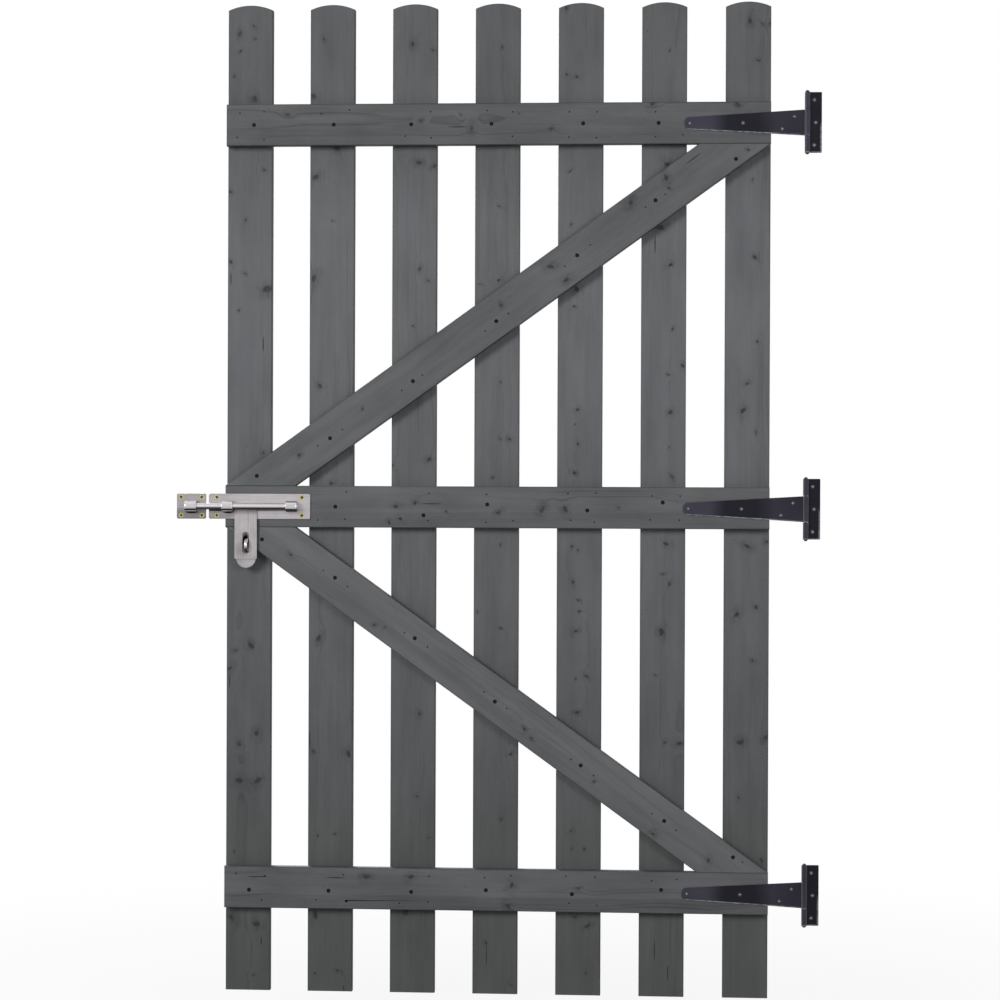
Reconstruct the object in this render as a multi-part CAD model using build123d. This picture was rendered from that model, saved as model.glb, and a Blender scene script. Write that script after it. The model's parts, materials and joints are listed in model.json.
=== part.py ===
from build123d import *
import math
import os

# A ledged and braced picket gate seen from its ledge side, in millimetres.
# X runs along the leaf from the latch to the hinges, Y from the viewer into the wood, Z up.
# The origin lies on the post's face, midway between the outer screw holes of the middle hinge.

# Leaf: upright pales, level ledges and slanted braces
pale_count = 7
pale_w = 81.5
pale_t = 18.0
pale_h = 1800.0
pale_gap = 69.5
pale_rise = 9.0
rail_w = 75.5
rail_t = 20.0
ledge_foot = 191.5
ledge_head = 221.0
arris = 1.5

# Wood screws, driven below the surface of the ledges and braces
wood_head_d = 7.0
wood_shank_d = 4.0
wood_screw_l = 32.0
wood_sink = 2.0
sink_clearance = 0.2
sink_step = 0.3
end_screw_shift = 22.0

# Screws were driven by hand: how far each lies from the middle of its crossing, along X and Z
driven_off = {
    "top": [(10, 0), (5, 0), (-5, 0), (-10, 0), (5, 0), (-10, 0), (0, 0)],
    "middle": [(0, 0), (10, 0), (20, -15), (-15, 5), (15, -5), (0, 10), (0, 0)],
    "bottom": [(5, -5), (0, -5), (0, -5), (-15, 0), (-10, -5), (0, 5), (0, 0)],
    "upper": [(-5, -5), (0, -5), (0, -10), (0, -10), (-5, 0), (-15, -10), (0, -5)],
    "lower": [(5, 0), (10, 0), (5, 0), (0, -5), (5, -10), (5, 0), (0, 5)],
}

# Screws and the holes they fill have flat sides, to keep the many of them light
wood_screw_sides = 6
sheet_screw_sides = 8
screw_rim = 0.2

# T-hinges
hinge_reach = 64.5
hinge_drop = 0.9
hinge_t = 2.5
pin_d = 5.0
pin_clearance = 0.05
pin_head_d = 7.4
pin_head_h = 3.2
curl_deg = 285.0
strap_l = 219.5
strap_base_w = 47.0
strap_tip_w = 21.0
strap_tip_r = 6.0
strap_hole_tip = 9.0
strap_hole_mid = 115.0
strap_hole_near = 23.0
strap_hole_far = 44.5
strap_hole_z = 11.0
flap_w = 26.0
flap_h = 109.0
flap_corner_r = 1.5
flap_hole_x = 12.5
flap_hole_z = 40.5
flap_hole_stagger = 2.5
knuckle_gap = 0.5
hinge_hole_d = 4.2
hinge_sink_d = 7.6
strap_screw_l = 18.0
screw_clearance = 0.1

# Pad bolt: a back plate with a tongue, two guides, a staple, a sliding rod and its hasp
plate_overhang = 30.0
plate_l = 186.0
plate_w = 46.0
plate_t = 2.5
plate_corner_r = 3.0
tongue_w = 36.0
tongue_drop = 112.0
rod_d = 12.0
rod_chamfer = 1.2
slide_clearance = 0.05
guide_wall = 4.0
guide_left_inset = 26.0
guide_left_l = 20.5
guide_right_inset = 21.5
guide_right_l = 21.5
guide_bevel = 2.5
hasp_w = 41.0
hasp_t = 2.5
hasp_drop = 96.0
hasp_top = 2.0
hasp_play = 1.5
hasp_corner_r = 2.0
hasp_rod_gap = 0.3
cradle_w = 8.0
cradle_h = 1.8
staple_bar = 6.0
staple_h = 27.0
staple_drop = 71.0
staple_out = 17.5
staple_clearance = 0.05
slot_free_left = 4.6
slot_free_right = 1.0
slot_top = 47.0
slot_bottom = 86.0
slot_corner_r = 2.0

# Keep, the loose plate on the latch side that takes the thrown rod
keep_gap = 4.8
keep_w = 54.0
keep_loop_inset = 15.5
keep_loop_l = 22.5
keep_clearance = 0.3
rod_end_inset = 2.0

# Countersunk screws of the pad bolt and the keep
plate_sink_d = 8.4
plate_hole_d = 4.2
plate_screw_l = 20.0
plate_screw_inset_x = 15.0
keep_screw_inset_x = 8.0
plate_screw_inset_z = 6.5

# Places that follow from the sizes
pin_x = -flap_hole_x
knuckle_r = pin_d / 2 + pin_clearance + hinge_t
pin_y = -knuckle_r
pale_pitch = pale_w + pale_gap
leaf_w = pale_w + (pale_count - 1) * pale_pitch
leaf_right = pin_x - hinge_reach
leaf_left = leaf_right - leaf_w
pale_x = [leaf_left + pale_w / 2 + i * pale_pitch for i in range(pale_count)]
ledge_pitch = (pale_h - ledge_foot - ledge_head) / 2
hinge_z = {"bottom": -ledge_pitch, "middle": 0.0, "top": ledge_pitch}
ledge_z = {name: z + hinge_drop for name, z in hinge_z.items()}
pale_foot_z = ledge_z["bottom"] - ledge_foot

plate_left = leaf_left - plate_overhang
plate_right = plate_left + plate_l
rod_z = ledge_z["middle"]
guide_r = rod_d / 2 + guide_wall
rod_y = -plate_t - guide_r
guide_left_x = plate_left + guide_left_inset
guide_right_x = plate_right - guide_right_inset - guide_right_l
hasp_left = guide_left_x + guide_left_l + hasp_play
hasp_x = hasp_left + hasp_w / 2
hasp_front_y = rod_y + rod_d / 2 + hasp_rod_gap
slot_w = slot_free_left + staple_bar + slot_free_right
staple_x = hasp_x + (slot_free_left - slot_free_right) / 2
keep_right = plate_left - keep_gap
keep_left = keep_right - keep_w
keep_loop_x = keep_right - keep_loop_inset - keep_loop_l
rod_left = keep_loop_x + rod_end_inset
rod_right = guide_right_x + guide_right_l

os.makedirs("parts", exist_ok=True)


def save(name, *solids):
    """Writes one node: a single solid, or a group of separate ones."""
    shape = solids[0] if len(solids) == 1 else Compound(children=list(solids))
    export_step(shape, f"parts/{name}.step")


def front(outline, y_front, y_back):
    """Extrudes an outline drawn in X and Z from one depth to another."""
    face = Plane.XZ.offset(-y_front) * outline
    return extrude(face, y_back - y_front, dir=(0, 1, 0))


def drill(x, z, radius, y_front, y_back):
    """A round cutter along Y."""
    return front(Pos(x, z) * Circle(radius), y_front, y_back)


def rod_along_x(x, length, radius):
    """A round bar or cutter on the rod's axis."""
    return extrude(Plane(origin=(x, rod_y, rod_z), z_dir=(1, 0, 0)) * Circle(radius), length)


def many_sided(across, sides):
    return RegularPolygon(across / 2, sides, major_radius=False)


def screw_body(x, z, y_face, head_d, shank_d, length, sides):
    """A blunt countersunk screw along Y, or the cutter for its hole."""
    axis = Plane(origin=(x, y_face, z), z_dir=(0, 1, 0))
    taper = (head_d - shank_d) / 2
    head = extrude(axis * many_sided(head_d, sides), screw_rim + taper)
    head = chamfer(head.edges().group_by(Axis.Y)[-1], taper)
    return head + extrude(axis * many_sided(shank_d, sides), length)


def screw_hole(x, z, sheet_t, hole_d, sink_d):
    """A cutter for a countersunk hole through a sheet that lies on the plane of the ledge fronts."""
    return screw_body(x, z, -sheet_t, sink_d, hole_d, sheet_t, sheet_screw_sides)


def sheet_screw(x, z, sheet_t, hole_d, sink_d, length):
    """A screw that fits a countersunk hole in a sheet, with its head level with the sheet's front."""
    head_d, shank_d = sink_d - screw_clearance, hole_d - screw_clearance
    return screw_body(x, z, -sheet_t, head_d, shank_d, length, sheet_screw_sides)


# Pales: square feet and shallow arched heads
def pale(x):
    foot, shoulder, crown = pale_foot_z, pale_foot_z + pale_h - pale_rise, pale_foot_z + pale_h
    low, high = x - pale_w / 2, x + pale_w / 2
    outline = make_face(
        [
            Polyline((low, shoulder), (low, foot), (high, foot), (high, shoulder)),
            ThreePointArc((high, shoulder), (x, crown), (low, shoulder)),
        ]
    )
    board = front(outline, rail_t, rail_t + pale_t)
    return chamfer(board.edges().filter_by(Axis.Z), arris)


# Ledges: level rails across the pales, with a sunk screw at each crossing
def wood_recess(x, z):
    mouth = many_sided(wood_head_d + sink_clearance, wood_screw_sides)
    return front(Pos(x, z) * mouth, 0, wood_sink + sink_step)


def wood_screw(x, z):
    return screw_body(x, z, wood_sink, wood_head_d, wood_shank_d, wood_screw_l, wood_screw_sides)


def ledge_screw_places(name):
    return [(x + dx, ledge_z[name] + dz) for x, (dx, dz) in zip(pale_x, driven_off[name])]


def ledge(name):
    outline = Pos((leaf_left + leaf_right) / 2, ledge_z[name]) * Rectangle(leaf_w, rail_w)
    rail = front(outline, 0, rail_t)
    rail = chamfer(rail.edges().filter_by(Axis.X), arris)
    return rail - [wood_recess(x, z) for x, z in ledge_screw_places(name)]


# Braces: slanted rails cut level along the ledges, from the latch edge to the hinge edge
brace_rise = ledge_pitch - rail_w


def brace_slope():
    """The angle at which a rail of the full width just fits between two ledges, corner to corner."""
    angle = math.atan2(brace_rise, leaf_w)
    for _ in range(60):
        angle = math.atan2(brace_rise, leaf_w - rail_w / math.sin(angle))
    return angle


brace_angle = brace_slope()
brace_cut = rail_w / math.sin(brace_angle)
brace_up = {"upper": 1, "lower": -1}
brace_z = {name: ledge_z["middle"] + up * rail_w / 2 for name, up in brace_up.items()}


def brace_screw_places(name):
    """One screw at each pale, about halfway between the brace's edges there, moved inwards at the ends."""
    places = []
    for i, (x, (dx, dz)) in enumerate(zip(pale_x, driven_off[name])):
        shift = end_screw_shift if i == 0 else -end_screw_shift if i == pale_count - 1 else 0.0
        along = x + shift - leaf_left
        outer = min(along * math.tan(brace_angle), brace_rise)
        inner = max((along - brace_cut) * math.tan(brace_angle), 0.0)
        middle_z = brace_z[name] + brace_up[name] * (outer + inner) / 2
        places.append((leaf_left + along + dx, middle_z + dz))
    return places


def brace(name):
    z_start, up = brace_z[name], brace_up[name]
    z_end = z_start + up * brace_rise
    corners = [
        (leaf_left, z_start),
        (leaf_left + brace_cut, z_start),
        (leaf_right, z_end),
        (leaf_right - brace_cut, z_end),
    ]
    rail = front(make_face(Polyline(*corners, close=True)), 0, rail_t)
    slant = Axis((0, 0, 0), (math.cos(brace_angle), 0, up * math.sin(brace_angle)))
    rail = chamfer(rail.edges().filter_by(slant), arris)
    return rail - [wood_recess(x, z) for x, z in brace_screw_places(name)]


# T-hinges: sheet curled round a riveted pin, a long strap on the leaf and a flap for the post
def curled_sheet(side, reach, z, height):
    """A sheet that lies on the post's face, curled round the pin at one end."""
    inner_r = knuckle_r - hinge_t
    centre = (pin_x, pin_y)
    inner = CenterArc(centre, inner_r, 90, side * curl_deg)
    outer = CenterArc(centre, knuckle_r, 90, side * curl_deg)
    far = pin_x + side * reach
    lines = [
        Polyline((pin_x, -hinge_t), (far, -hinge_t), (far, 0), (pin_x, 0)),
        outer,
        Line(outer @ 1, inner @ 1),
        inner,
    ]
    section = Plane.XY.offset(z - height / 2) * make_face(lines)
    return extrude(section, height, dir=(0, 0, 1))


def hinge_hole(x, z):
    return screw_hole(x, z, hinge_t, hinge_hole_d, hinge_sink_d)


def strap_screw_x():
    return [pin_x - strap_hole_mid, pin_x - strap_l + strap_hole_tip]


def hinge_strap(z):
    base, tip, end = strap_base_w / 2, strap_tip_w / 2, pin_x - strap_l
    sheet = curled_sheet(-1, strap_l, z, strap_base_w)
    outline = Polygon(
        (pin_x + knuckle_r, base), (pin_x, base), (end, tip), (end, -tip), (pin_x, -base),
        (pin_x + knuckle_r, -base), align=None,
    )
    outline = fillet(outline.vertices().group_by(Axis.X)[0], strap_tip_r)
    sheet = sheet & front(Pos(0, z) * outline, -2 * knuckle_r, 0)
    holes = [(x, z) for x in strap_screw_x()]
    holes += [(pin_x - strap_hole_near, z + strap_hole_z), (pin_x - strap_hole_far, z - strap_hole_z)]
    return sheet - [hinge_hole(x, hole_z) for x, hole_z in holes]


def hinge_flap(z):
    sheet = curled_sheet(1, flap_w, z, flap_h)
    rim = sheet.edges().filter_by(Axis.Y).group_by(Axis.X)[-1]
    sheet = fillet(rim, flap_corner_r)
    mouth_h = strap_base_w + 2 * knuckle_gap
    mouth = Pos(pin_x, z) * Rectangle(2 * (knuckle_r + knuckle_gap), mouth_h)
    sheet = sheet - front(mouth, -2 * knuckle_r, 0)
    holes = [(0, flap_hole_z), (flap_hole_stagger, 0), (0, -flap_hole_z)]
    return sheet - [drill(x, z + dz, hinge_hole_d / 2, -hinge_t, 0) for x, dz in holes]


def hinge_pin(z):
    """A plain pin with a rivet head on each end of the knuckle."""
    end = flap_h / 2
    half = Polyline(
        (0, end + pin_head_h), (0, -end - pin_head_h), (pin_head_d / 2, -end - pin_head_h),
        (pin_head_d / 2, -end), (pin_d / 2, -end), (pin_d / 2, end), (pin_head_d / 2, end),
        (pin_head_d / 2, end + pin_head_h), close=True,
    )
    return Pos(pin_x, pin_y, z) * revolve(make_face(Plane.XZ * half), Axis.Z)


def strap_screw(x, z):
    return sheet_screw(x, z, hinge_t, hinge_hole_d, hinge_sink_d, strap_screw_l)


# Pad bolt
def plate_screw_hole(x, z):
    return screw_hole(x, z, plate_t, plate_hole_d, plate_sink_d)


def plate_screw_places(left, right, inset_x):
    dz = plate_w / 2 - plate_screw_inset_z
    return [(x, rod_z + side * dz) for x in (left + inset_x, right - inset_x) for side in (1, -1)]


def plate_screw(x, z):
    return sheet_screw(x, z, plate_t, plate_hole_d, plate_sink_d, plate_screw_l)


def back_plate():
    """The long plate with the rounded tongue that carries the staple."""
    bar = Pos((plate_left + plate_right) / 2, rod_z) * RectangleRounded(plate_l, plate_w, plate_corner_r)
    tongue_l = tongue_drop - tongue_w / 2
    tongue = Pos(hasp_x, rod_z - tongue_l / 2) * Rectangle(tongue_w, tongue_l)
    tongue += Pos(hasp_x, rod_z - tongue_l) * Circle(tongue_w / 2)
    plate = front(bar + tongue, -plate_t, 0)
    mouth = staple_bar + 2 * staple_clearance
    legs = [front(Pos(staple_x, z) * Rectangle(mouth, mouth), -plate_t, 0) for z in staple_legs()]
    holes = [
        plate_screw_hole(x, z) for x, z in plate_screw_places(plate_left, plate_right, plate_screw_inset_x)
    ]
    return plate - legs - holes


def loop_on_plate(x, length, bore_r, bevel_end):
    """A U-shaped loop on a plate, bored for the rod, with one bevelled end if asked (-1 left, 1 right)."""
    section = Rectangle(guide_r, 2 * guide_r, align=(Align.MIN, Align.CENTER)) + Circle(guide_r)
    across = Plane(origin=(x, rod_y, rod_z), x_dir=(0, 1, 0), z_dir=(1, 0, 0))
    loop = extrude(across * section, length)
    if bevel_end:
        end = loop.faces().sort_by(Axis.X)[0 if bevel_end < 0 else -1]
        seat = end.edges().sort_by(Axis.Y)[-1]
        rim = [edge for edge in end.edges() if not edge.is_same(seat)]
        loop = chamfer(rim, guide_bevel)
    return loop - rod_along_x(x, length, bore_r)


def staple_legs():
    reach = (staple_h - staple_bar) / 2
    return [rod_z - staple_drop + reach, rod_z - staple_drop - reach]


def staple():
    """A square bar bent to a U, with its ends flush with the back of the tongue."""
    outer_r = staple_h / 2
    eye_r = outer_r - staple_bar
    root = plate_t + staple_out - outer_r
    section = make_face(
        [
            CenterArc((0, 0), outer_r, 90, 180),
            Polyline((0, -outer_r), (root, -outer_r), (root, -eye_r), (0, -eye_r)),
            CenterArc((0, 0), eye_r, 90, 180),
            Polyline((0, eye_r), (root, eye_r), (root, outer_r), (0, outer_r)),
        ]
    )
    start = (staple_x - staple_bar / 2, -root, rod_z - staple_drop)
    return extrude(Plane(origin=start, x_dir=(0, 1, 0), z_dir=(1, 0, 0)) * section, staple_bar)


def bolt_rod():
    bar = rod_along_x(rod_left, rod_right - rod_left, rod_d / 2)
    return chamfer(bar.edges().filter_by(GeomType.CIRCLE), rod_chamfer)


def bolt_hasp():
    """The slotted strap on the rod's back, with a cradle that follows the rod."""
    height = hasp_top + hasp_drop
    blank = Pos(hasp_x, rod_z + hasp_top - height / 2) * RectangleRounded(hasp_w, height, hasp_corner_r)
    slot_l = slot_bottom - slot_top
    slot_z = rod_z - (slot_top + slot_bottom) / 2
    slot = Pos(hasp_x, slot_z) * RectangleRounded(slot_w, slot_l, slot_corner_r)
    strap = front(blank - slot, hasp_front_y, hasp_front_y + hasp_t)
    seat_top = rod_z + hasp_top
    seat = Pos(hasp_x, seat_top - cradle_w / 2) * Rectangle(hasp_w - 2 * hasp_corner_r, cradle_w)
    cradle = front(seat, hasp_front_y - cradle_h, hasp_front_y)
    hollow = rod_along_x(hasp_left, hasp_w, rod_d / 2 + slide_clearance)
    return (strap + cradle) - hollow


def keep_plate():
    outline = Pos((keep_left + keep_right) / 2, rod_z) * RectangleRounded(keep_w, plate_w, plate_corner_r)
    plate = front(outline, -plate_t, 0)
    holes = [plate_screw_hole(x, z) for x, z in plate_screw_places(keep_left, keep_right, keep_screw_inset_x)]
    return plate - holes


# Write every piece
for number, x in enumerate(pale_x, start=1):
    save(f"pale_{number}", pale(x))

for name in ledge_z:
    save(f"ledge_{name}", ledge(name))
save("ledge_screws", *[wood_screw(x, z) for name in ledge_z for x, z in ledge_screw_places(name)])

for name in brace_z:
    save(f"brace_{name}", brace(name))
save("brace_screws", *[wood_screw(x, z) for name in brace_z for x, z in brace_screw_places(name)])

for name, z in hinge_z.items():
    save(f"hinge_strap_{name}", hinge_strap(z))
    save(f"hinge_flap_{name}", hinge_flap(z))
    save(f"hinge_pin_{name}", hinge_pin(z))
save("hinge_screws", *[strap_screw(x, z) for z in hinge_z.values() for x in strap_screw_x()])

save("bolt_back_plate", back_plate())
guide_bore_r = rod_d / 2 + slide_clearance
save("bolt_guide_left", loop_on_plate(guide_left_x, guide_left_l, guide_bore_r, 0))
save("bolt_guide_right", loop_on_plate(guide_right_x, guide_right_l, guide_bore_r, 1))
save("bolt_staple", staple())
save("bolt_rod", bolt_rod())
save("bolt_hasp", bolt_hasp())
bolt_places = plate_screw_places(plate_left, plate_right, plate_screw_inset_x)
save("bolt_screws", *[plate_screw(x, z) for x, z in bolt_places])

save("keep_plate", keep_plate())
save("keep_loop", loop_on_plate(keep_loop_x, keep_loop_l, rod_d / 2 + keep_clearance, -1))
keep_places = plate_screw_places(keep_left, keep_right, keep_screw_inset_x)
save("keep_screws", *[plate_screw(x, z) for x, z in keep_places])
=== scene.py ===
import json
import math
import random
from collections import namedtuple

import bmesh
import bpy
from mathutils import Matrix, Vector


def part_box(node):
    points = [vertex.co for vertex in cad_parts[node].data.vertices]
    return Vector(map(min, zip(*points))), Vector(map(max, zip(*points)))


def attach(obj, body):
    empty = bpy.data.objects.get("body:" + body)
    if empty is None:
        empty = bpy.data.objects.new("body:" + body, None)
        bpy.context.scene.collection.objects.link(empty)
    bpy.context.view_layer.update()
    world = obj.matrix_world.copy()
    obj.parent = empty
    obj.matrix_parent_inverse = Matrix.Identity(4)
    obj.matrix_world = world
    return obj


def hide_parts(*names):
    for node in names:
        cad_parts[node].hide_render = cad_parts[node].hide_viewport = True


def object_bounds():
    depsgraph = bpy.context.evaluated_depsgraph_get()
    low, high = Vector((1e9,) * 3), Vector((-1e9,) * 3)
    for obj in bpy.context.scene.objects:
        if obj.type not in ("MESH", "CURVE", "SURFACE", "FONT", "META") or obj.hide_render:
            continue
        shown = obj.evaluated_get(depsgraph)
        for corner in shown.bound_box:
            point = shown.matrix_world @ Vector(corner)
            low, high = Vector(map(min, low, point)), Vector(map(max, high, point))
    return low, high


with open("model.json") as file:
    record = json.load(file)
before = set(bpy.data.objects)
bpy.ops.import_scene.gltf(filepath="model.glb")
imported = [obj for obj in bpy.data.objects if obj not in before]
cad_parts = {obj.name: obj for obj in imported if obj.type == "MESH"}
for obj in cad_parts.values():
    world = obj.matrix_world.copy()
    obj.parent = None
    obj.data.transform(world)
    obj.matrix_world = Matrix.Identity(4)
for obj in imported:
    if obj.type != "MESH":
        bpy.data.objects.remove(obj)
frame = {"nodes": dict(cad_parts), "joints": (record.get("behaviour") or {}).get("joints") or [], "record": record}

cad_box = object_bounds()

# Everything is in metres, in the frame of the CAD model
mm = 0.001
places = ("bottom", "middle", "top")
pales = [f"pale_{number}" for number in range(1, 8)]
ledges = [f"ledge_{place}" for place in places]
braces = ("brace_upper", "brace_lower")
joints = {joint["name"]: joint for joint in frame["joints"]}
mounts = {mount["name"]: mount for mount in frame["record"]["mounts"]}
pin = Vector(joints["leaf_swing"]["pos_m"])
rod_axis = Vector(joints["hasp_lift"]["pos_m"])

# Edges, fits and fineness
wood_round = 1.4 * mm
sheet_round = 0.45 * mm
plate_round = 0.5 * mm
hole_play = 0.2 * mm
running_fit = 0.05 * mm
over_cut = 1.0 * mm
weld = 0.001 * mm
curve_steps = 10
edge_fineness = 2
turned_sides = 40
sharp_angle = math.radians(38)
endless = 1e6


# Outlines, as points in X and Z that run anticlockwise
def arc(centre, radius, start, turn, steps=curve_steps):
    angles = [math.radians(start + turn * i / steps) for i in range(steps + 1)]
    return [(centre[0] + radius * math.cos(a), centre[1] + radius * math.sin(a)) for a in angles]


def quarter(steps):
    """Angles from 0 to 90 degrees."""
    return [math.radians(90 * i / steps) for i in range(steps + 1)]


def rounded(corners):
    """An outline from corners of X, Z and the radius that rounds each of them."""
    points = []
    for i, (x, z, radius) in enumerate(corners):
        here = Vector((x, z))
        before = (Vector(corners[i - 1][:2]) - here).normalized()
        after = (Vector(corners[(i + 1) % len(corners)][:2]) - here).normalized()
        if radius == 0:
            points.append((x, z))
            continue
        half = before.angle(after) / 2
        centre = here + (before + after).normalized() * radius / math.sin(half)
        first = here + before * radius / math.tan(half) - centre
        last = here + after * radius / math.tan(half) - centre
        start = math.degrees(math.atan2(first.y, first.x))
        turn = math.degrees(math.atan2(last.y, last.x)) - start
        turn = (turn + 180) % 360 - 180
        points += arc(centre, radius, start, turn)
    return points


def rectangle(low_x, low_z, high_x, high_z, radius):
    corners = ((low_x, low_z), (high_x, low_z), (high_x, high_z), (low_x, high_z))
    return rounded([(x, z, radius) for x, z in corners])


# Meshes
def to_bmesh(mesh):
    bm = bmesh.new()
    bm.from_mesh(mesh)
    bpy.data.meshes.remove(mesh)
    bmesh.ops.remove_doubles(bm, verts=bm.verts, dist=weld)
    return bm


def curve_mesh(curve, lines, closed):
    """Gives a curve its straight-sided lines and turns it into a mesh."""
    for line in lines:
        spline = curve.splines.new("POLY")
        spline.points.add(len(line) - 1)
        for point, spot in zip(spline.points, line):
            point.co = (*spot, 1)
        spline.use_cyclic_u = closed
    holder = bpy.data.objects.new(curve.name, curve)
    bm = to_bmesh(bpy.data.meshes.new_from_object(holder))
    bpy.data.objects.remove(holder)
    bpy.data.curves.remove(curve)
    return bm


def sheet(outline, holes, y_front, y_back, edge):
    """A flat piece with rounded edges: an outline with holes, given a thickness along Y."""
    curve = bpy.data.curves.new("sheet", "CURVE")
    curve.dimensions = "2D"
    curve.fill_mode = "BOTH"
    curve.extrude = (y_back - y_front) / 2 - edge
    curve.bevel_depth = edge
    curve.bevel_resolution = edge_fineness
    curve.offset = -edge
    bm = curve_mesh(curve, [[(x, z, 0) for x, z in line] for line in (outline, *holes)], True)

    # Stand the flat curve upright
    middle = (y_front + y_back) / 2
    bm.transform(Matrix(((1, 0, 0, 0), (0, 0, -1, middle), (0, 1, 0, 0), (0, 0, 0, 1))))
    return bm


def turned(profile, sides=turned_sides):
    """A body turned round the Y axis, from pairs of radius and distance along the axis."""
    bm = bmesh.new()
    angles = [2 * math.pi * i / sides for i in range(sides)]
    rows = []
    for radius, along in profile:
        used = angles if radius else angles[:1]
        rows.append([bm.verts.new((radius * math.cos(a), along, radius * math.sin(a))) for a in used])
    for low, high in zip(rows, rows[1:]):
        for i in range(sides):
            j = (i + 1) % sides
            corners = [low[i % len(low)], low[j % len(low)], high[j % len(high)], high[i % len(high)]]
            bm.faces.new(list(dict.fromkeys(corners)))
    bmesh.ops.recalc_face_normals(bm, faces=bm.faces)
    return bm


def box_mesh(low, high):
    bm = bmesh.new()
    bmesh.ops.create_cube(bm, size=1.0)
    size = Vector(high) - Vector(low)
    bm.transform(Matrix.Translation((Vector(high) + Vector(low)) / 2) @ Matrix.Diagonal((*size, 1)))
    return bm


def copies(bm, spots):
    """One mesh with a copy of bm at each spot."""
    mesh = bpy.data.meshes.new("copies")
    bm.to_mesh(mesh)
    bm.free()
    joined = bmesh.new()
    for spot in spots:
        first = len(joined.verts)
        joined.from_mesh(mesh)
        joined.verts.ensure_lookup_table()
        bmesh.ops.translate(joined, verts=joined.verts[first:], vec=spot)
    bpy.data.meshes.remove(mesh)
    return joined


def loose_object(bm, name):
    mesh = bpy.data.meshes.new(name)
    bm.to_mesh(mesh)
    bm.free()
    item = bpy.data.objects.new(name, mesh)
    bpy.context.scene.collection.objects.link(item)
    return item


def combine(bm, other, operation):
    """Joins a mesh with another by a boolean operation."""
    body, tool = loose_object(bm, "body"), loose_object(other, "tool")
    step = body.modifiers.new("combine", "BOOLEAN")
    step.object = tool
    step.operation = operation
    step.solver = "EXACT"
    result = bpy.data.meshes.new_from_object(body.evaluated_get(bpy.context.evaluated_depsgraph_get()))
    for item in (body, tool):
        mesh = item.data
        bpy.data.objects.remove(item)
        bpy.data.meshes.remove(mesh)
    return to_bmesh(result)


def cut(bm, cutter):
    return combine(bm, cutter, "DIFFERENCE")


def piece(name, bm, body, slot, materials, *nodes):
    """Puts a finished mesh in the scene, on its body and in place of its CAD nodes."""
    for edge in bm.edges:
        edge.smooth = edge.calc_face_angle(0) < sharp_angle
    for face in bm.faces:
        face.smooth = True
    item = loose_object(bm, name)
    for material in materials if isinstance(materials, tuple) else (materials,):
        item.data.materials.append(material)
    normals = item.modifiers.new("even_normals", "WEIGHTED_NORMAL")
    normals.keep_sharp = True
    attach(item, body)
    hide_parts(*nodes)


def solid_centres(node):
    """The middle of each separate solid in a CAD node, from left to right."""
    bm = bmesh.new()
    bm.from_mesh(frame["nodes"][node].data)
    bmesh.ops.remove_doubles(bm, verts=bm.verts, dist=weld)
    left = set(bm.verts)
    centres = []
    while left:
        group, front = [], [left.pop()]
        while front:
            vert = front.pop()
            group.append(vert.co)
            fresh = left.intersection(edge.other_vert(vert) for edge in vert.link_edges)
            left -= fresh
            front += fresh
        centres.append(Vector([(min(row) + max(row)) / 2 for row in zip(*group)]))
    bm.free()
    return sorted(centres, key=lambda c: (round(c.z, 2), c.x))


# Shader nodes, in short calls
class Nodes:
    def __init__(self, tree):
        self.tree = tree

    def put(self, socket, value):
        if isinstance(value, bpy.types.NodeSocket):
            self.tree.links.new(value, socket)
        else:
            socket.default_value = value

    def node(self, kind, inputs=(), **settings):
        item = self.tree.nodes.new("ShaderNode" + kind)
        for key, value in settings.items():
            setattr(item, key, value)
        for key, value in dict(inputs).items():
            self.put(item.inputs[key], value)
        return item

    def math(self, operation, *values):
        return self.node("Math", enumerate(values), operation=operation).outputs[0]

    def seen(self):
        """1 for a ray from the camera, straight or by way of a shiny or clear surface, and else 0."""
        path = self.node("LightPath").outputs
        mirrored = self.math("MAXIMUM", path["Is Glossy Ray"], path["Is Transmission Ray"])
        return self.math("MAXIMUM", path["Is Camera Ray"], mirrored)


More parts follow.
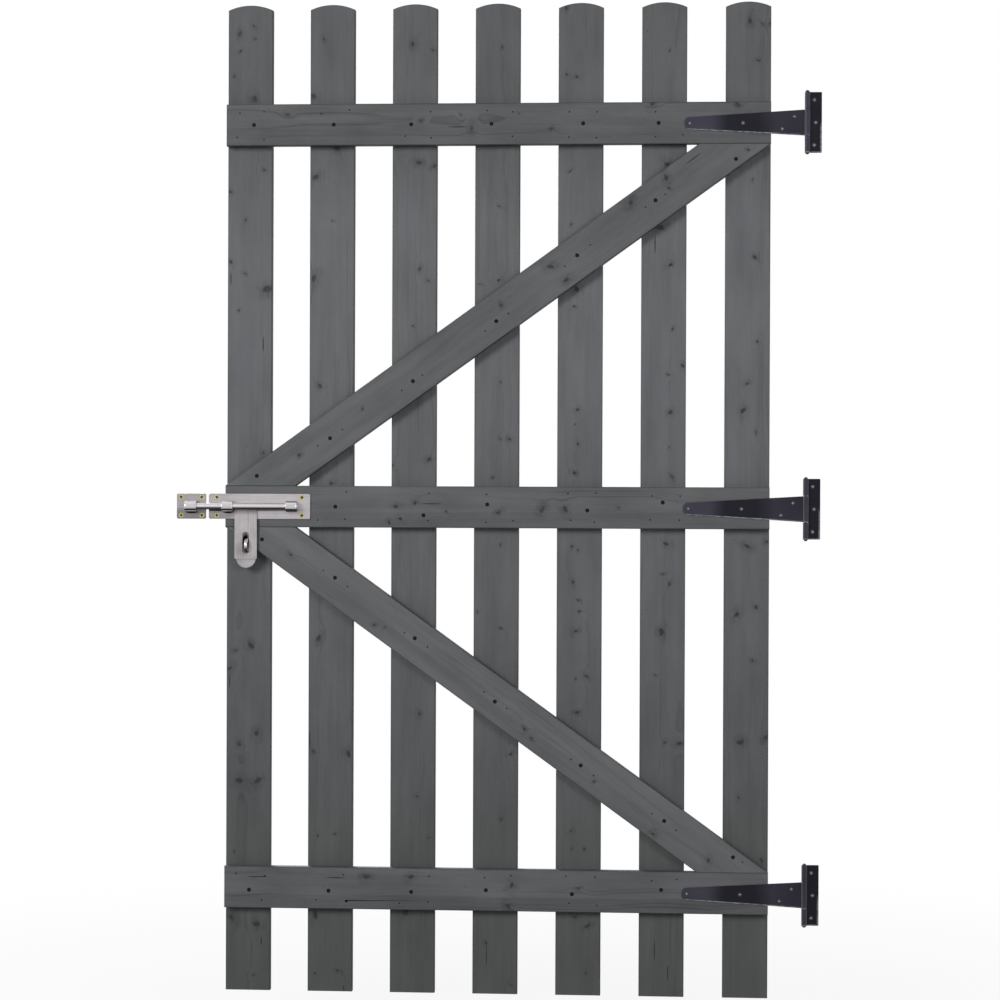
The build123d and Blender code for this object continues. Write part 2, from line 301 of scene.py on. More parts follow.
class Shader(Nodes):
    """A material, with places in millimetres from a start, turned about Y, and shifted ones for its noise."""

    def __init__(self, name, start=(0, 0, 0), turn=0.0, shift=(0, 0, 0)):
        self.material = bpy.data.materials.new(name)
        self.material.use_nodes = True
        super().__init__(self.material.node_tree)
        self.surface = self.tree.nodes["Principled BSDF"]
        spot = self.local(self.node("TexCoord").outputs["Object"], start, turn)
        self.spot = self.vector("MULTIPLY", spot, (1 / mm, 1 / mm, 1 / mm))
        self.x, self.y, self.z = self.parts(self.spot)
        self.own = self.vector("ADD", self.spot, shift)

    def product(self, value, *others):
        for other in others:
            value = self.math("MULTIPLY", value, other)
        return value

    def layered(self, value, *layers):
        """A value with a share of each layer added."""
        for layer, share in layers:
            value = self.math("MULTIPLY_ADD", layer, share, value)
        return value

    def vector(self, operation, *values):
        item = self.node("VectorMath", enumerate(values), operation=operation)
        return item.outputs["Value" if operation == "LENGTH" else "Vector"]

    def parts(self, vector):
        return self.node("SeparateXYZ", {0: vector}).outputs

    def noise(self, scale, detail=2.0, roughness=0.5):
        """Noise from about -0.5 to 0.5, with a scale along each axis."""
        scaled = self.vector("MULTIPLY", self.own, scale)
        inputs = {"Vector": scaled, "Scale": 1.0, "Detail": detail, "Roughness": roughness}
        return self.math("SUBTRACT", self.node("TexNoise", inputs).outputs[0], 0.5)

    def grain(self, across, along, detail=2.0, roughness=0.5):
        """Noise with one scale across the grain and another along it."""
        return self.noise((across, across, along), detail, roughness)

    def step(self, value, low, high, start=0.0, end=1.0):
        """A smooth step from start to end as the value goes from low to high."""
        inputs = {"Value": value, "From Min": low, "From Max": high, "To Min": start, "To Max": end}
        return self.node("MapRange", inputs, interpolation_type="SMOOTHSTEP").outputs[0]

    def beside(self, value, edge, span, start=0.0, end=1.0):
        """A smooth step over a span that is given in millimetres from an edge."""
        return self.step(value, edge / mm + span[0], edge / mm + span[1], start, end)

    def profile(self, value, stops):
        """A grey level that runs from stop to stop as the value goes from 0 to 1."""
        ramp = self.node("ValToRGB", {0: value})
        elements = ramp.color_ramp.elements
        while len(elements) < len(stops):
            elements.new(0.5)
        for element, (place, level) in zip(elements, stops):
            element.position = place
            element.color = (level, level, level, 1)
        return ramp.outputs[0]

    def mix(self, factor, first, second):
        return self.node("Mix", {0: factor, 6: first, 7: second}, data_type="RGBA").outputs[2]

    def shade(self, colour, value):
        """A colour made lighter or darker by a value near one."""
        return self.node("VectorMath", {0: colour, "Scale": value}, operation="SCALE").outputs[0]

    def local(self, spot, start, turn, size=(1, 1, 1)):
        """A place seen from a start, turned about Y and in units of a size."""
        inputs = {"Vector": spot, "Location": start, "Rotation": (0, turn, 0), "Scale": size}
        return self.node("Mapping", inputs, vector_type="TEXTURE").outputs[0]

    def nearest(self, spot, marks):
        """How far a place is from the nearest mark, in the mark's own half sizes."""
        nearest = None
        for across, along, half_across, half_along, tilt in marks:
            local = self.local(spot, (across, 0, along), tilt, (half_across, endless, half_along))
            far = self.vector("LENGTH", local)
            nearest = far if nearest is None else self.math("MINIMUM", nearest, far)
        return nearest

    def facing(self):
        """The direction a surface faces in the frame, as X, Y and Z."""
        return self.parts(self.node("TexCoord").outputs["Normal"])

    def bump(self, height, strength, distance):
        inputs = {"Height": height, "Strength": strength, "Distance": distance}
        return self.node("Bump", inputs).outputs[0]

    def finish(self, **inputs):
        for key, value in inputs.items():
            self.put(self.surface.inputs[key.replace("_", " ")], value)
        return self.material


# Wood: its colours, and the sizes of its grain and marks in millimetres
Board = namedtuple("Board", "start turn length half taper tone heart band knots splits")
paint = (0.117, 0.120, 0.128, 1)
paint_greener = (0.117, 0.124, 0.122, 1)
knot_colour = (0.013, 0.0135, 0.0125, 1)
split_colour = (0.012, 0.012, 0.011, 1)
hole_painted_shade = (0.016, 0.015, 0.014)
board_shift = Vector((173.0, 71.0, 911.0))
ring_width = 4.6
ring_shift = 31.0
pith_depth = 26.0
drift_reach, swell_reach, ripple_reach = 26.0, 16.0, 1.6
knot_across, knot_along = 0.66, 1.05
knot_turn = 2.4
knot_bend = 1.2
knot_cover, speck_cover, split_cover = 0.97, 0.6, 0.85
split_half_width = 1.2
speck_pitch = 34.0
grain_depth = 0.35 * mm
edge_painted_shade = 0.24
edge_inner, edge_outer = 2.2, 1.0
band_blur = 2.0

# How the knots' outlines stray: the noise's scale and detail, and its reach
knot_wobbles = ((0.26, 4.0, 4.4), (0.05, 1.0, 7.0))

# Painted shade up a pale: darker towards its foot and a little towards its head, as the lamps' light falls off
pale_painted_falloff = (
    (0, 0.54), (0.14, 0.6), (0.25, 0.68), (0.38, 0.78), (0.55, 0.87), (0.68, 0.95), (0.78, 0.91),
    (0.86, 0.75), (1, 0.73),
)


def knot_layers(s, board):
    """How near a place is to a knot, the knot's uneven dark core, and the patchy smudge round it."""
    loose = s.spot
    for scale, detail, reach in knot_wobbles:
        inputs = {"Vector": s.own, "Scale": scale, "Detail": detail}
        stray = s.vector("SUBTRACT", s.node("TexNoise", inputs).outputs["Color"], (0.5, 0.5, 0.5))
        loose = s.vector("MULTIPLY_ADD", stray, (reach, 0.0, reach), loose)
    knots = [(x, z, r * knot_across, r * knot_along) for x, z, r in board.knots]
    away = s.nearest(loose, [(*knot, knot_turn * i) for i, knot in enumerate(knots)])
    uneven = s.step(s.grain(0.4, 0.32, 3.0), -0.2, 0.12, 0.7, 1.0)
    paler = s.step(s.grain(0.018, 0.018), -0.15, 0.15, 0.85, 1.0)
    heart = s.step(away, 0.95, 0.2, 0.74, 1.0)
    core = s.product(s.step(away, 1.1, 0.6), uneven, paler, heart)
    patchy = s.step(s.grain(0.11, 0.05, 3.0), -0.15, 0.15, 0.2, 1.0)
    return away, core, s.product(s.step(away, 3.8, 0.6), patchy)


def speck_layer(s):
    """Small specks, in about half of the cells of a pattern."""
    cells = s.node("TexVoronoi", {"Vector": s.own, "Scale": 1 / speck_pitch}).outputs
    chosen = s.step(s.parts(cells["Color"])[0], 0.55, 0.6)
    return s.product(s.step(cells["Distance"], 0.055, 0.02), chosen)


def ring_layer(s, board, ripple, away, seed):
    """Growth rings, each of its own strength, that bend round the knots."""
    drift = s.product(s.grain(0.012, 0.0022), drift_reach)
    swell = s.product(s.grain(0.01, 0.006, 1.0), swell_reach)
    swirl = s.step(away, 7.5, 0.2)
    shifted = s.math("ADD", s.math("ADD", s.x, board.heart), s.math("ADD", drift, ripple))
    flat = s.node("CombineXYZ", {0: shifted, 1: s.math("ADD", s.y, pith_depth)}).outputs[0]
    grown = s.layered(s.math("ADD", s.vector("LENGTH", flat), swell), (s.z, board.taper))
    count = s.layered(s.math("DIVIDE", grown, ring_width), (swirl, knot_bend))
    turn = s.math("FRACT", count)
    late = s.product(s.step(turn, 0.3, 0.9), s.step(turn, 1.0, 0.92))
    number = s.math("ADD", s.math("FLOOR", count), ring_shift * seed)
    each = s.node("TexWhiteNoise", {"W": number}, noise_dimensions="1D").outputs["Value"]
    strong = s.step(each, 0.5, 1.0)
    clear = s.step(s.grain(0.02, 0.004), -0.1, 0.18, 0.2, 1.0)
    return s.product(late, strong, clear)


def painted_wood(name, board, seed, painted_falloff=None):
    """Grey paint over softwood, with the board's own grain, knots and splits."""
    s = Shader(name, board.start, board.turn, tuple(board_shift * seed))
    away, core, smudge = knot_layers(s, board)
    marks = s.math("MAXIMUM", s.product(core, knot_cover), s.product(speck_layer(s), speck_cover))
    ripple = s.product(s.grain(0.16, 0.016), ripple_reach)
    rings = ring_layer(s, board, ripple, away, seed)

    # Fibres, patches of thinner paint, painted shade along the edges, and a greener tint
    fibre = s.grain(0.8, 0.012, 5.0, 0.62)
    patch = s.grain(0.022, 0.007, 5.0, 0.6)
    streak = s.grain(0.07, 0.003)
    grit = s.grain(0.8, 0.6, 3.0, 0.7)
    # Painted shade: darker near the long edges, where the rounded arrises turn away from the light
    rim = s.step(s.math("ABSOLUTE", s.x), board.half - edge_inner, board.half - edge_outer)
    value = s.layered(
        board.tone, (fibre, 0.34), (patch, 0.62), (streak, 0.3), (grit, 0.2), (rings, -0.24), (smudge, -0.32),
        (rim, -edge_painted_shade),
    )
    if board.band:
        edge, amount = board.band
        beyond = s.step(s.math("ADD", s.x, ripple), edge - band_blur, edge + band_blur)
        value = s.layered(value, (beyond, amount))
    greener = s.step(s.grain(0.03, 0.006), -0.2, 0.2, 0.0, 0.45)
    # Painted shade that falls off up the pale; where it is darkest the tint turns greener, as it does at random
    # elsewhere
    if painted_falloff:
        level = s.profile(s.math("DIVIDE", s.z, board.length), painted_falloff)
        value = s.product(value, level)
        greener = s.math("MAXIMUM", greener, s.step(level, 0.7, 0.58))

    colour = s.mix(marks, s.shade(s.mix(greener, paint, paint_greener), value), knot_colour)
    height = s.math("SUBTRACT", s.layered(fibre, (rings, -0.5)), marks)
    if board.splits:
        splits = [(x, z, split_half_width, half, 0) for x, z, half in board.splits]
        gash = s.step(s.nearest(s.spot, splits), 1.2, 0.6)
        colour = s.mix(s.product(gash, split_cover), colour, split_colour)
        height = s.layered(height, (gash, -2.0))
    return s.finish(
        Base_Color=colour,
        Roughness=s.layered(0.62, (fibre, 0.2)),
        Specular_IOR_Level=0.2,
        Normal=s.bump(height, 0.4, grain_depth),
    )


def shaded_hole():
    """The wood inside a screw hole, painted dark as the shade in the hole, and stained unevenly."""
    s = Shader("shaded_hole")
    stain = s.grain(1.2, 1.2)
    return s.finish(
        Base_Color=s.shade(hole_painted_shade, s.layered(1.0, (stain, 0.8))), Roughness=0.9, Specular_IOR_Level=0.1
    )


# Each board's paint level, how far off its pith lies, and a darker band beyond some place across it.
# Then its knots, as places across and along the board with a radius, and its splits, with a half length.
# The places were read in the photograph, and then scaled to whole millimetres on the boards.
# The pales' levels rise from left to right: partly the boards' own tone, partly painted light that evens out the
# left lamp.
board_marks = {
    "pale_1": (0.96, 14, None, [
        (-20, 1747, 6.4), (5, 1763, 3.6), (9, 1739, 2.4), (-18, 1717, 4), (-29, 1671, 2.7), (9, 1629, 7.3),
        (26, 1499, 3.6), (-37, 1459, 3.6), (-8, 1407, 2.9), (-35, 1330, 4.4), (-10, 1310, 3.3),
        (32, 1282, 10), (-20, 1244, 3.1), (26, 983, 4.4), (5, 631, 7.3), (-26, 622, 3.6), (-33, 589, 5.5),
        (15, 470, 6.6), (-16, 451, 4.7), (-18, 383, 8.2), (17, 383, 9), (-26, 253, 2.7), (-30, 132, 7.3),
        (16, 121, 8.4), (10, 29, 2.5),
    ], [(-35, 1301, 13), (25, 1181, 15), (-35, 565, 13), (25, 90, 9)]),
    "pale_2": (0.99, 6, None, [
        (-16, 1737, 3.6), (-34, 1633, 6.4), (8, 1538, 6.4), (-30, 1487, 6.2), (-33, 1302, 8.2),
        (-22, 1106, 4.7), (1, 1406, 2.4), (1, 928, 4), (-22, 644, 6.6), (33, 434, 7.3), (-32, 439, 3.3),
        (7, 287, 2.5), (-24, 285, 2.5), (-27, 139, 8.2), (15, 38, 3.6), (-27, 31, 2.7),
    ], [(26, 5, 7), (-38, 459, 16)]),
    "pale_3": (0.99, 46, None, [
        (-4, 1727, 5.8), (33, 1716, 2.9), (8, 1511, 6.6), (35, 1506, 4.7), (9, 1318, 4), (25, 1298, 3.3),
        (-3, 1215, 2.5), (27, 972, 4.7), (-37, 961, 2.9), (11, 508, 4), (8, 358, 3.1), (30, 283, 2.2),
        (-13, 146, 8.2),
    ], []),
    "pale_4": (0.97, 8, None, [
        (8, 1720, 2.9), (2, 1433, 2.9), (-30, 1291, 2.7), (4, 1298, 3.6), (7, 1112, 2.5), (7, 1010, 2.5),
        (24, 1008, 4.4), (-7, 939, 2), (8, 818, 3.6), (-33, 694, 2.2), (9, 665, 2.7), (27, 437, 3.8),
        (11, 317, 2.7), (-15, 94, 3.3), (30, 18, 2.4),
    ], [(-15, 70, 20)]),
    "pale_5": (1.02, 4, None, [
        (-28, 1791, 4.4), (-26, 1671, 4), (-7, 1667, 4), (-18, 1496, 2.9), (-17, 1399, 3.3), (-7, 1281, 7.3),
        (-11, 1250, 2.9), (-3, 1062, 4), (-8, 1037, 2), (-3, 1000, 3.5), (-10, 949, 4), (-13, 814, 3.5),
        (-2, 807, 2.7), (-12, 749, 4.4), (-1, 718, 3.1), (-1, 696, 3.1), (-5, 661, 5.1), (-6, 574, 3.1),
        (14, 579, 4.4), (-2, 513, 4.5), (-14, 298, 3.1), (-12, 267, 2.7), (12, 266, 3.1), (-4, 140, 4.7),
        (18, 127, 5.5), (15, 40, 2.2),
    ], []),
    "pale_6": (1.03, -32, None, [
        (8, 1712, 2.4), (5, 1505, 7.3), (-7, 1392, 8.2), (11, 1325, 5.5), (17, 1209, 3.3), (35, 1143, 4.7),
        (10, 1127, 2.9), (14, 1058, 5.8), (11, 994, 2.4), (16, 941, 4), (7, 820, 6.4), (2, 767, 2.9),
        (13, 747, 4), (-1, 661, 7.6), (-12, 583, 2.4), (32, 460, 6.2), (5, 461, 3.3),
    ], [(-16, 1361, 18), (-12, 83, 20), (12, 43, 16)]),
    "pale_7": (1.03, 70, None, [
        (3, 1765, 6.6), (25, 1760, 3.3), (18, 1693, 3.6), (38, 1760, 4.7), (8, 1480, 3.1), (14, 1338, 5.5),
        (18, 1186, 3.1), (0, 1110, 3.8), (-7, 1061, 6.6), (17, 1023, 2.9), (1, 817, 6.9), (36, 825, 4),
        (-18, 694, 6.9), (18, 707, 5.1), (11, 610, 3.6), (-10, 463, 7.6), (37, 471, 6.6), (-13, 363, 3.1),
        (29, 249, 4.7),
    ], []),
    "ledge_top": (0.72, 10, (8, -0.08), [
        (-19, 111, 3.6), (-6, 355, 3.6), (7, 448, 5.5), (-17, 428, 2.4), (-19, 533, 2.2), (11, 590, 3.6),
        (-35, 774, 6.4), (-33, 928, 4.5),
    ], [(5, 422, 18)]),
    "ledge_middle": (0.83, -14, (9, -0.1), [
        (0, 313, 5.5), (-8, 347, 4.4), (29, 300, 4.4), (22, 320, 4), (9, 404, 2.7), (9, 500, 5.1),
        (5, 577, 6.9), (3, 619, 6.9), (0, 717, 2.9),
    ], [(-6, 378, 20)]),
    "ledge_bottom": (0.76, 40, (12, -0.12), [
        (-21, 260, 6.2), (-23, 342, 6.2), (-10, 526, 6.9), (29, 519, 6.2), (-6, 646, 3.6),
    ], [(-19, 62, 20), (-19, 205, 18)]),
    "brace_upper": (0.79, 24, None, [
        (-5, 91, 4.5), (-5, 232, 2.9), (-11, 547, 4), (-15, 660, 6.9), (21, 669, 6.6), (-24, 844, 6.6),
        (-23, 922, 5.8), (-5, 916, 2.7), (21, 1070, 2.7),
    ], [(-22, 982, 18)]),
    "brace_lower": (0.9, -24, (6, -0.09), [
        (9, 75, 3.6), (21, 273, 2.9), (14, 290, 2), (13, 605, 3.6), (18, 623, 3.3), (14, 762, 2.4),
        (28, 901, 4.7), (8, 1010, 5.5),
    ], []),
}


# Leaf: pales, ledges and braces
screw_sink = 2.0 * mm
recess_d = 7.2 * mm
recess_step = 0.3 * mm
screw_dish = 1.0 * mm
wood_head_d, wood_shank_d = 7.0 * mm, 4.0 * mm
nail_d = 2.8 * mm
nail_fit = 0.96
nail_dish = 1.0 * mm
nail_sink = 0.8 * mm
nail_length = 28.0 * mm
nail_spread_x = 25.0 * mm
nail_spread_z = 24.0 * mm
nail_shift_x = 6.0 * mm
nail_jitter = 4.0 * mm
nail_margin = 4.0 * mm
nail_share = 0.75
nail_sides = 12
hole_sides = 24
hole_skin = 0.01 * mm
hole_reach = 0.51
arch_rise = 9.0 * mm
pale_taper, rail_taper = 0.012, 0.01
angle_rounds = 40


def recesses(spots, diameter, sink, dish, y_face):
    """Cutters for the round holes that sunk screws and nails sit in, with a dished rim."""
    depth = sink + recess_step
    r = diameter / 2
    hole = turned([
        (0, -over_cut), (r + dish + 2 * over_cut, -over_cut), (r, dish / 2), (r, depth), (0, depth),
    ], hole_sides)
    return copies(hole, [Vector((spot.x, y_face, spot.z)) for spot in spots])


def drilled(bm, screws, nails, y_face):
    """A board with its holes, whose walls get the second material."""
    holes = ((screws, recess_d, screw_sink, screw_dish), (nails, nail_d, nail_sink, nail_dish))
    for spots, diameter, sink, dish in holes:
        if not spots:
            continue
        bm = cut(bm, recesses(spots, diameter, sink, dish, y_face))
        for face in bm.faces:
            middle = face.calc_center_median()
            inside = y_face + hole_skin < middle.y < y_face + sink + 2 * recess_step
            away = [math.hypot(middle.x - s.x, middle.z - s.z) for s in spots] if inside else []
            if any(distance < hole_reach * diameter for distance in away):
                face.material_index = 1
    return bm


def on_board(spots, low, high):
    return [spot for spot in spots if low.x < spot.x < high.x and low.z < spot.z < high.z]


def under_metal(spot):
    margin = Vector((nail_d, 0, nail_d))
    boxes = [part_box(node) for node in ("bolt_back_plate", *[f"hinge_strap_{place}" for place in places])]
    return any(on_board([spot], low - margin, high + margin) for low, high in boxes)


def over_pale(spot):
    boxes = [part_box(pale) for pale in pales]
    return any(low.x + nail_margin < spot.x < high.x - nail_margin for low, high in boxes)


def ledge_nails(low, high, draw):
    """Places of the nails near the corners of each crossing on a ledge, where no metal covers them."""
    spots = []
    middle_z = (low.z + high.z) / 2
    for pale in pales:
        pale_low, pale_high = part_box(pale)
        middle_x = (pale_low.x + pale_high.x) / 2 + nail_shift_x
        for side_x, side_z in ((-1, -1), (-1, 1), (1, -1), (1, 1)):
            x = middle_x + side_x * nail_spread_x + draw.uniform(-nail_jitter, nail_jitter)
            z = middle_z + side_z * nail_spread_z + draw.uniform(-nail_jitter, nail_jitter)
            if draw.random() < nail_share:
                spots.append(Vector((x, low.y, z)))
    return [spot for spot in spots if not under_metal(spot)]


def brace_nails(spots, slope, low, high, draw):
    """Two nails beside each screw of a brace, along it, where they reach a pale and no metal covers them."""
    nails = []
    for spot in spots:
        for side in (-1, 1):
            away = side * nail_spread_x + draw.uniform(-nail_jitter, nail_jitter)
            off = draw.uniform(-nail_jitter, nail_jitter)
            nail = Vector((spot.x + away * math.cos(slope), low.y, spot.z + away * math.sin(slope) + off))
            if low.z + nail_margin < nail.z < high.z - nail_margin and over_pale(nail):
                nails.append(nail)
    return [nail for nail in nails if not under_metal(nail)]


def make_board(node, outline, board, seed, screws=(), nails=(), painted_falloff=None):
    """A board with rounded edges, its holes and its own painted wood."""
    low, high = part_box(node)
    bm = drilled(sheet(outline, [], low.y, high.y, wood_round), screws, nails, low.y)
    wood = painted_wood(f"painted_{node}", board, seed, painted_falloff)
    piece(f"board_{node}", bm, "leaf", "painted_wood", (wood, hole_wood) if screws else wood, node)


def make_pale(node, seed):
    """A pale with an arched head."""
    low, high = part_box(node)
    half = (high.x - low.x) / 2
    middle = low.x + half
    radius = (half ** 2 + arch_rise ** 2) / (2 * arch_rise)
    sweep = math.degrees(math.asin(half / radius))
    head = arc((middle, high.z - radius), radius, 90 - sweep, 2 * sweep, 3 * curve_steps)
    outline = [(low.x, low.z), (high.x, low.z), *head]
    start, length = (middle, low.y, low.z), high.z - low.z
    board = Board(start, 0.0, length / mm, half / mm, pale_taper, *board_marks[node])
    make_board(node, outline, board, seed, painted_falloff=pale_painted_falloff)


def make_ledge(node, seed):
    """A level rail; returns its nails."""
    low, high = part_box(node)
    half = (high.z - low.z) / 2
    outline = rectangle(low.x, low.z, high.x, high.z, 0)
    screws = on_board(ledge_screw_spots, low, high)
    nails = ledge_nails(low, high, random.Random(seed))
    start, length = (low.x, low.y, low.z + half), high.x - low.x
    board = Board(start, math.pi / 2, length / mm, half / mm, rail_taper, *board_marks[node])
    make_board(node, outline, board, seed, screws, nails)
    return nails


def make_brace(node, seed):
    """A slanted rail whose ends are cut level along the ledges; returns its nails."""
    low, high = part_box(node)
    up = 1 if node == "brace_upper" else -1
    z_start, z_end = (low.z, high.z) if up > 0 else (high.z, low.z)
    ledge_low, ledge_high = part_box("ledge_middle")
    width = ledge_high.z - ledge_low.z
    level = 0
    for _ in range(angle_rounds):
        angle = math.atan2(high.z - low.z, high.x - low.x - level)
        level = width / math.sin(angle)
    corners = [(low.x, z_start), (low.x + level, z_start), (high.x, z_end), (high.x - level, z_end)]
    screws = on_board(brace_screw_spots, low, high)
    nails = brace_nails(screws, up * angle, low, high, random.Random(seed))
    start, length = (low.x + level / 2, low.y, z_start), math.hypot(high.x - low.x - level, high.z - low.z)
    turn = math.pi / 2 - up * angle
    board = Board(start, turn, length / mm, width / 2 / mm, rail_taper, *board_marks[node])
    make_board(node, corners[::up], board, seed, screws, nails)
    return nails


# Metals: colours, how they wear, and the highlights, sheen, reflection and shade painted on them
coat_black = (0.0067, 0.0062, 0.0085)
coat_gloss = (0.75, 0.75, 1.0, 1.0)
coat_worn_and_lit = (0.42, 0.41, 0.46, 1)
stainless = (0.388, 0.364, 0.375)
polished = (0.6, 0.57, 0.58)
cross_shade = (0.012, 0.011, 0.01, 1)
zinc_gold, zinc_green = (0.5, 0.34, 0.08, 1), (0.42, 0.46, 0.16, 1)
screw_dark, screw_grey, screw_worn = (0.03, 0.03, 0.036, 1), (0.05, 0.05, 0.056, 1), (0.36, 0.35, 0.38, 1)
sunk_dark, sunk_darker = (0.014, 0.014, 0.014, 1), (0.008, 0.008, 0.008, 1)
along_x, along_z = (0.015, 0.5, 0.5), (0.5, 0.5, 0.015)
edge_wear, flap_highlight_level = 0.3, 0.4
peel_depth, brush_depth = 0.2 * mm, 0.05 * mm

# Painted highlights and shade, and darkening towards the left, in millimetres from an edge, the pin or the rod
flap_right_highlight = (-3.4, -2.4)
flap_foot_highlight = (2.8, 1.8)
flap_lower_part = (58.0, 44.0)
barrel_edge = (5.5, 4.5)
darker_left = (20.0, -40.0)
shade_below_rod = (0.0, -9.0)
recess_shade = (0.1, 0.5)

# How bright the coat is painted along a strap, from its tip to the pin, and on a flap and its barrel: painted
# sheen, with painted shade on the flap
strap_painted_sheen = (
    (0, 5.4), (0.14, 5.6), (0.22, 4.8), (0.28, 2.8), (0.35, 0.5), (0.6, 0.4), (0.66, 1.6), (0.74, 3.2),
    (0.82, 2.9), (0.9, 2.5), (0.96, 2.3), (0.98, 4.0), (1, 4.0),
)
flap_painted_shade, barrel_painted_sheen = 0.15, 4.0
strap_tip_w = 21.0 * mm

# Painted reflection on a polished loop and rod: how bright each looks from its underside to its top
loop_painted_reflection = (
    (0, 0.08), (0.07, 0.5), (0.12, 0.45), (0.15, 0.01), (0.25, 0.01), (0.3, 0.55), (0.42, 0.95), (0.6, 0.85),
    (0.8, 1.15), (1, 1.0),
)
rod_painted_reflection = ((0, 0.12), (0.1, 0.06), (0.27, 0.06), (0.38, 0.5), (0.48, 1.0), (0.8, 0.95), (0.95, 1.4))


def strap_painted_light(s, node):
    """Painted highlight along a strap's lower edge, and painted sheen along its coat from tip to pin."""
    low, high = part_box(node)
    tip_half, root_half = strap_tip_w / 2 / mm, (high.z - low.z) / 2 / mm
    share = s.math("DIVIDE", s.math("SUBTRACT", s.x, low.x / mm), (pin.x - low.x) / mm)
    half = s.layered(tip_half, (share, root_half - tip_half))
    side = s.math("DIVIDE", s.math("SUBTRACT", s.z, (low.z + high.z) / 2 / mm), half)
    # Painted highlight along the strap's lower edge
    lower_edge_highlight = s.product(s.step(side, -0.86, -0.95), s.step(share, 0.95, 0.6, 0.25, 0.7))
    return lower_edge_highlight, s.profile(share, strap_painted_sheen)


def flap_painted_light(s, node):
    """Painted highlight along a flap's right edge and foot, painted shade on the flap and painted sheen on its
    barrel.
    """
    low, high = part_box(node)
    # Painted highlights along the lower part of the right edge and along the foot
    right = s.beside(s.x, high.x, flap_right_highlight, 0.0, flap_highlight_level)
    foot = s.beside(s.z, low.z, flap_foot_highlight, 0.0, flap_highlight_level)
    lit_and_worn_edges = s.math("MAXIMUM", s.product(right, s.beside(s.z, low.z, flap_lower_part)), foot)
    return lit_and_worn_edges, s.beside(s.x, pin.x, barrel_edge, flap_painted_shade, barrel_painted_sheen)


def black_coat(name, painted_light=None, node=None):
    """Black coating, rubbed thin round its edges; the function given for a strap or a flap adds its painted
    highlights and its painted sheen and shade.
    """
    s = Shader(name)
    uneven_mask = s.step(s.noise((0.12, 0.25, 0.5), 4.0), -0.12, 0.06, 0.35, 1.0)
    lit_and_worn_edges = s.product(s.step(s.math("ABSOLUTE", s.facing()[1]), 0.95, 0.5), edge_wear)
    cloud = s.grain(0.02, 0.02, 3.0)
    peel = s.grain(0.9, 0.9)
    value = s.layered(1.0, (cloud, 0.9))
    # A strap's or a flap's painted highlights, painted sheen and painted shade
    if painted_light:
        edge_highlight, painted_sheen_and_shade = painted_light(s, node)
        lit_and_worn_edges = s.math("MAXIMUM", lit_and_worn_edges, edge_highlight)
        value = s.product(value, painted_sheen_and_shade)
    return s.finish(
        Base_Color=s.mix(s.product(lit_and_worn_edges, uneven_mask), s.shade(coat_black, value), coat_worn_and_lit),
        Roughness=s.layered(0.42, (cloud, 0.25)),
        Specular_IOR_Level=0.2,
        Specular_Tint=coat_gloss,
        Normal=s.bump(peel, 0.12, peel_depth),
    )


def darken_plate(s, value):
    """Darkens a plate towards the left, and paints shade on it below the rod."""
    left = s.beside(s.x, rod_axis.x, darker_left)
    below = s.beside(s.z, rod_axis.z, shade_below_rod)
    dull = s.product(below, s.layered(0.08, (left, 0.22)))
    return s.math("SUBTRACT", s.layered(value, (left, -0.14)), dull)


def steel(name, colour, brush, gain=1.0, mottle=0.16, rough=0.3, darkened=False, shade_marks=(), painted_reflection=None):
    """Satin steel with fine brush lines. Shade marks are patches of painted shade, and a darkened plate is
    darker to the left with painted shade below the rod. Painted reflection follows the slope of a round
    surface, as polished bars show it."""
    s = Shader(name)
    lines = s.noise(brush, 5.0, 0.7)
    cloud = s.grain(0.06, 0.06, 3.0)
    value = s.layered(gain, (lines, 0.3), (cloud, mottle))
    # Darker towards the left, with painted shade below the rod
    if darkened:
        value = darken_plate(s, value)
    # Patches of painted shade
    for across, along, half_across, half_along, amount in shade_marks:
        mark = (rod_axis.x / mm + across, rod_axis.z / mm + along, half_across, half_along, 0)
        value = s.layered(value, (s.step(s.nearest(s.spot, [mark]), 1.35, 0.5), -amount))
    # Painted reflection, brighter or darker by how far the surface faces up
    if painted_reflection:
        upward = s.layered(0.5, (s.facing()[2], 0.5))
        value = s.product(value, s.profile(upward, painted_reflection))
    return s.finish(
        Base_Color=s.shade(colour, value),
        Metallic=1.0,
        Roughness=s.layered(rough, (lines, 0.18)),
        Normal=s.bump(lines, 0.08, brush_depth),
    )


def plated(name, first, second, inside, rough, y_face):
    """Zinc plate whose tint drifts over small patches, with another colour inside the cross recess: painted shade
    on the gold and the sunk screws, rubbed bare metal on the hinge screws.
    """
    s = Shader(name)
    tint = s.step(s.grain(0.2, 0.2), -0.15, 0.15)
    recess = s.beside(s.y, y_face, recess_shade)
    return s.finish(
        Base_Color=s.mix(recess, s.mix(tint, first, second), inside),
        Metallic=s.math("SUBTRACT", 1.0, recess),
        Roughness=s.layered(rough, (s.grain(3.0, 3.0), 0.2)),
    )


# Painted shade marks, in millimetres from the rod's axis at the hasp: place across and along, half sizes and
# strength
shadow_drop, shadow_half, shadow_strength = 0.7, 2.2, 0.62


def contact_shadow(node):
    """Painted contact shadow on the plate along the lower edge of a loop or of the rod."""
    low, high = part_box(node)
    across, half = (low.x + high.x) / 2 - rod_axis.x, (high.x - low.x) / 2
    return across / mm, (low.z - rod_axis.z) / mm - shadow_drop, half / mm, shadow_half, shadow_strength


